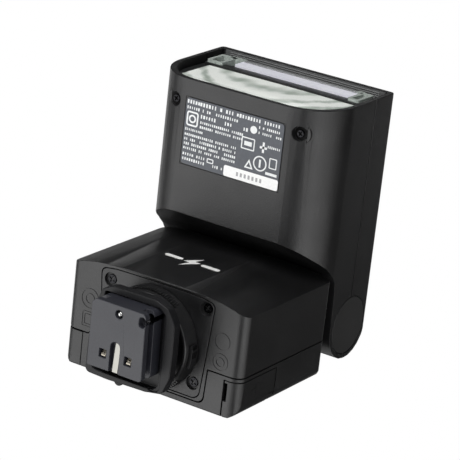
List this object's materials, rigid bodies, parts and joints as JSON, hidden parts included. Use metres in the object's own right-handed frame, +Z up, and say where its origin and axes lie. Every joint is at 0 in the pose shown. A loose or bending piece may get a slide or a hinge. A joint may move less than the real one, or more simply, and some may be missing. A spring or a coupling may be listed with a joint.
{
  "type": "speedlight flash",
  "caption": "Compact shoe-mounted flash: box body on a locking shoe foot, wide lamp head tilting on a rear hinge, label, doors and rear keys.",
  "frame": {"origin": "centre of the shoe foot's underside", "axes": "+Z up from the foot through the body, -Y the way the lamp window faces with the head level, +X the side of the port door"},
  "size_m": [0.0614, 0.0854, 0.0882],
  "materials": {
    "black_polycarbonate": "fine spark texture, matt",
    "dark_polycarbonate": "fine texture, satin",
    "grey_nylon": "smooth satin",
    "steel": "bright rolled",
    "black_steel": "black zinc plated",
    "gilt": "plated, bright",
    "clear_acrylic": "polished with moulded ribs",
    "bright_aluminium": "mirror bright",
    "tube_glass": "fire polished",
    "silicone": "matt",
    "board": "solder resist",
    "cell_sleeve": "shrink sleeve",
    "capacitor_sleeve": "shrink sleeve",
    "ferrite": "tape and ferrite, matt",
    "slate_label": "printed film",
    "amber": "clear amber"
  },
  "bodies": {
    "body": {"body_front_shell": "black_polycarbonate", "body_rear_shell": "black_polycarbonate", "neck_housing": "black_polycarbonate", "base_plate": "dark_polycarbonate", "shoe_guard": "dark_polycarbonate", "shoe_foot": "grey_nylon", "shoe_stem": "grey_nylon", "battery_door_pin": "steel", "port_door_pin": "steel", "centre_contact": "steel", "earth_strip": "steel", "hinge_shaft": "steel", "cell_contact_plate": "steel", "radio_module": "steel", "usb_receptacle": "steel", "base_screw_1": "black_steel", "base_screw_2": "black_steel", "base_screw_3": "black_steel", "base_screw_4": "black_steel", "side_contact_1": "gilt", "side_contact_2": "gilt", "main_board": "board", "control_board": "board", "cell_1": "cell_sleeve", "cell_2": "cell_sleeve", "main_capacitor": "capacitor_sleeve", "charge_transformer": "ferrite", "link_lamp": "amber", "ready_lamp": "amber"},
    "head": {"head_lower_shell": "black_polycarbonate", "head_upper_shell": "black_polycarbonate", "hinge_cap_left": "dark_polycarbonate", "hinge_cap_right": "dark_polycarbonate", "lens_window": "clear_acrylic", "reflector": "bright_aluminium", "flash_tube": "tube_glass", "tube_holder_1": "silicone", "tube_holder_2": "silicone", "trigger_board": "board", "trigger_coil": "ferrite", "rating_label": "slate_label", "head_screw_1": "black_steel", "head_screw_2": "black_steel"},
    "dial": {"lock_dial": "dark_polycarbonate"},
    "pin": {"lock_pin": "steel"},
    "cell_door": {"battery_door": "black_polycarbonate", "door_contact_plate": "steel"},
    "port_cover": {"port_door": "black_polycarbonate"},
    "power_key": {"power_button": "dark_polycarbonate"},
    "pairing_key": {"pairing_button": "dark_polycarbonate"},
    "test_key": {"test_button": "dark_polycarbonate"}
  },
  "joints": [
    {"name": "head_tilt", "type": "hinge", "parent": "body", "child": "head", "pos_m": [0, 0.0069, 0.0776], "axis": [-1, 0, 0], "range_deg": [0, 120]},
    {"name": "dial_turn", "type": "hinge", "parent": "body", "child": "dial", "pos_m": [0, 0.0039, 0.0132], "axis": [0, 0, 1], "range_deg": [0, 60]},
    {"name": "lock_pin_slide", "type": "slide", "parent": "body", "child": "pin", "axis": [0, 0, -1], "range_m": [0, 0.0035]},
    {"name": "battery_door_hinge", "type": "hinge", "parent": "body", "child": "cell_door", "pos_m": [-0.0291, 0.0101, 0.0593], "axis": [0, 1, 0], "range_deg": [0, 70]},
    {"name": "port_door_hinge", "type": "hinge", "parent": "body", "child": "port_cover", "pos_m": [0.0293, 0.0096, 0.0367], "axis": [0, -1, 0], "range_deg": [0, 95]},
    {"name": "power_press", "type": "slide", "parent": "body", "child": "power_key", "axis": [0, -1, 0], "range_m": [0, 0.0004], "stiffness_N_per_m": 600, "springref_m": -0.0004},
    {"name": "pairing_press", "type": "slide", "parent": "body", "child": "pairing_key", "axis": [0, -1, 0], "range_m": [0, 0.0004], "stiffness_N_per_m": 600, "springref_m": -0.0004},
    {"name": "test_press", "type": "slide", "parent": "body", "child": "test_key", "axis": [0, -1, 0], "range_m": [0, 0.0004], "stiffness_N_per_m": 600, "springref_m": -0.0004}
  ],
  "couplings": [
    {"joint": "lock_pin_slide", "follows": "dial_turn", "m_per_rad": 0.003247}
  ]
}
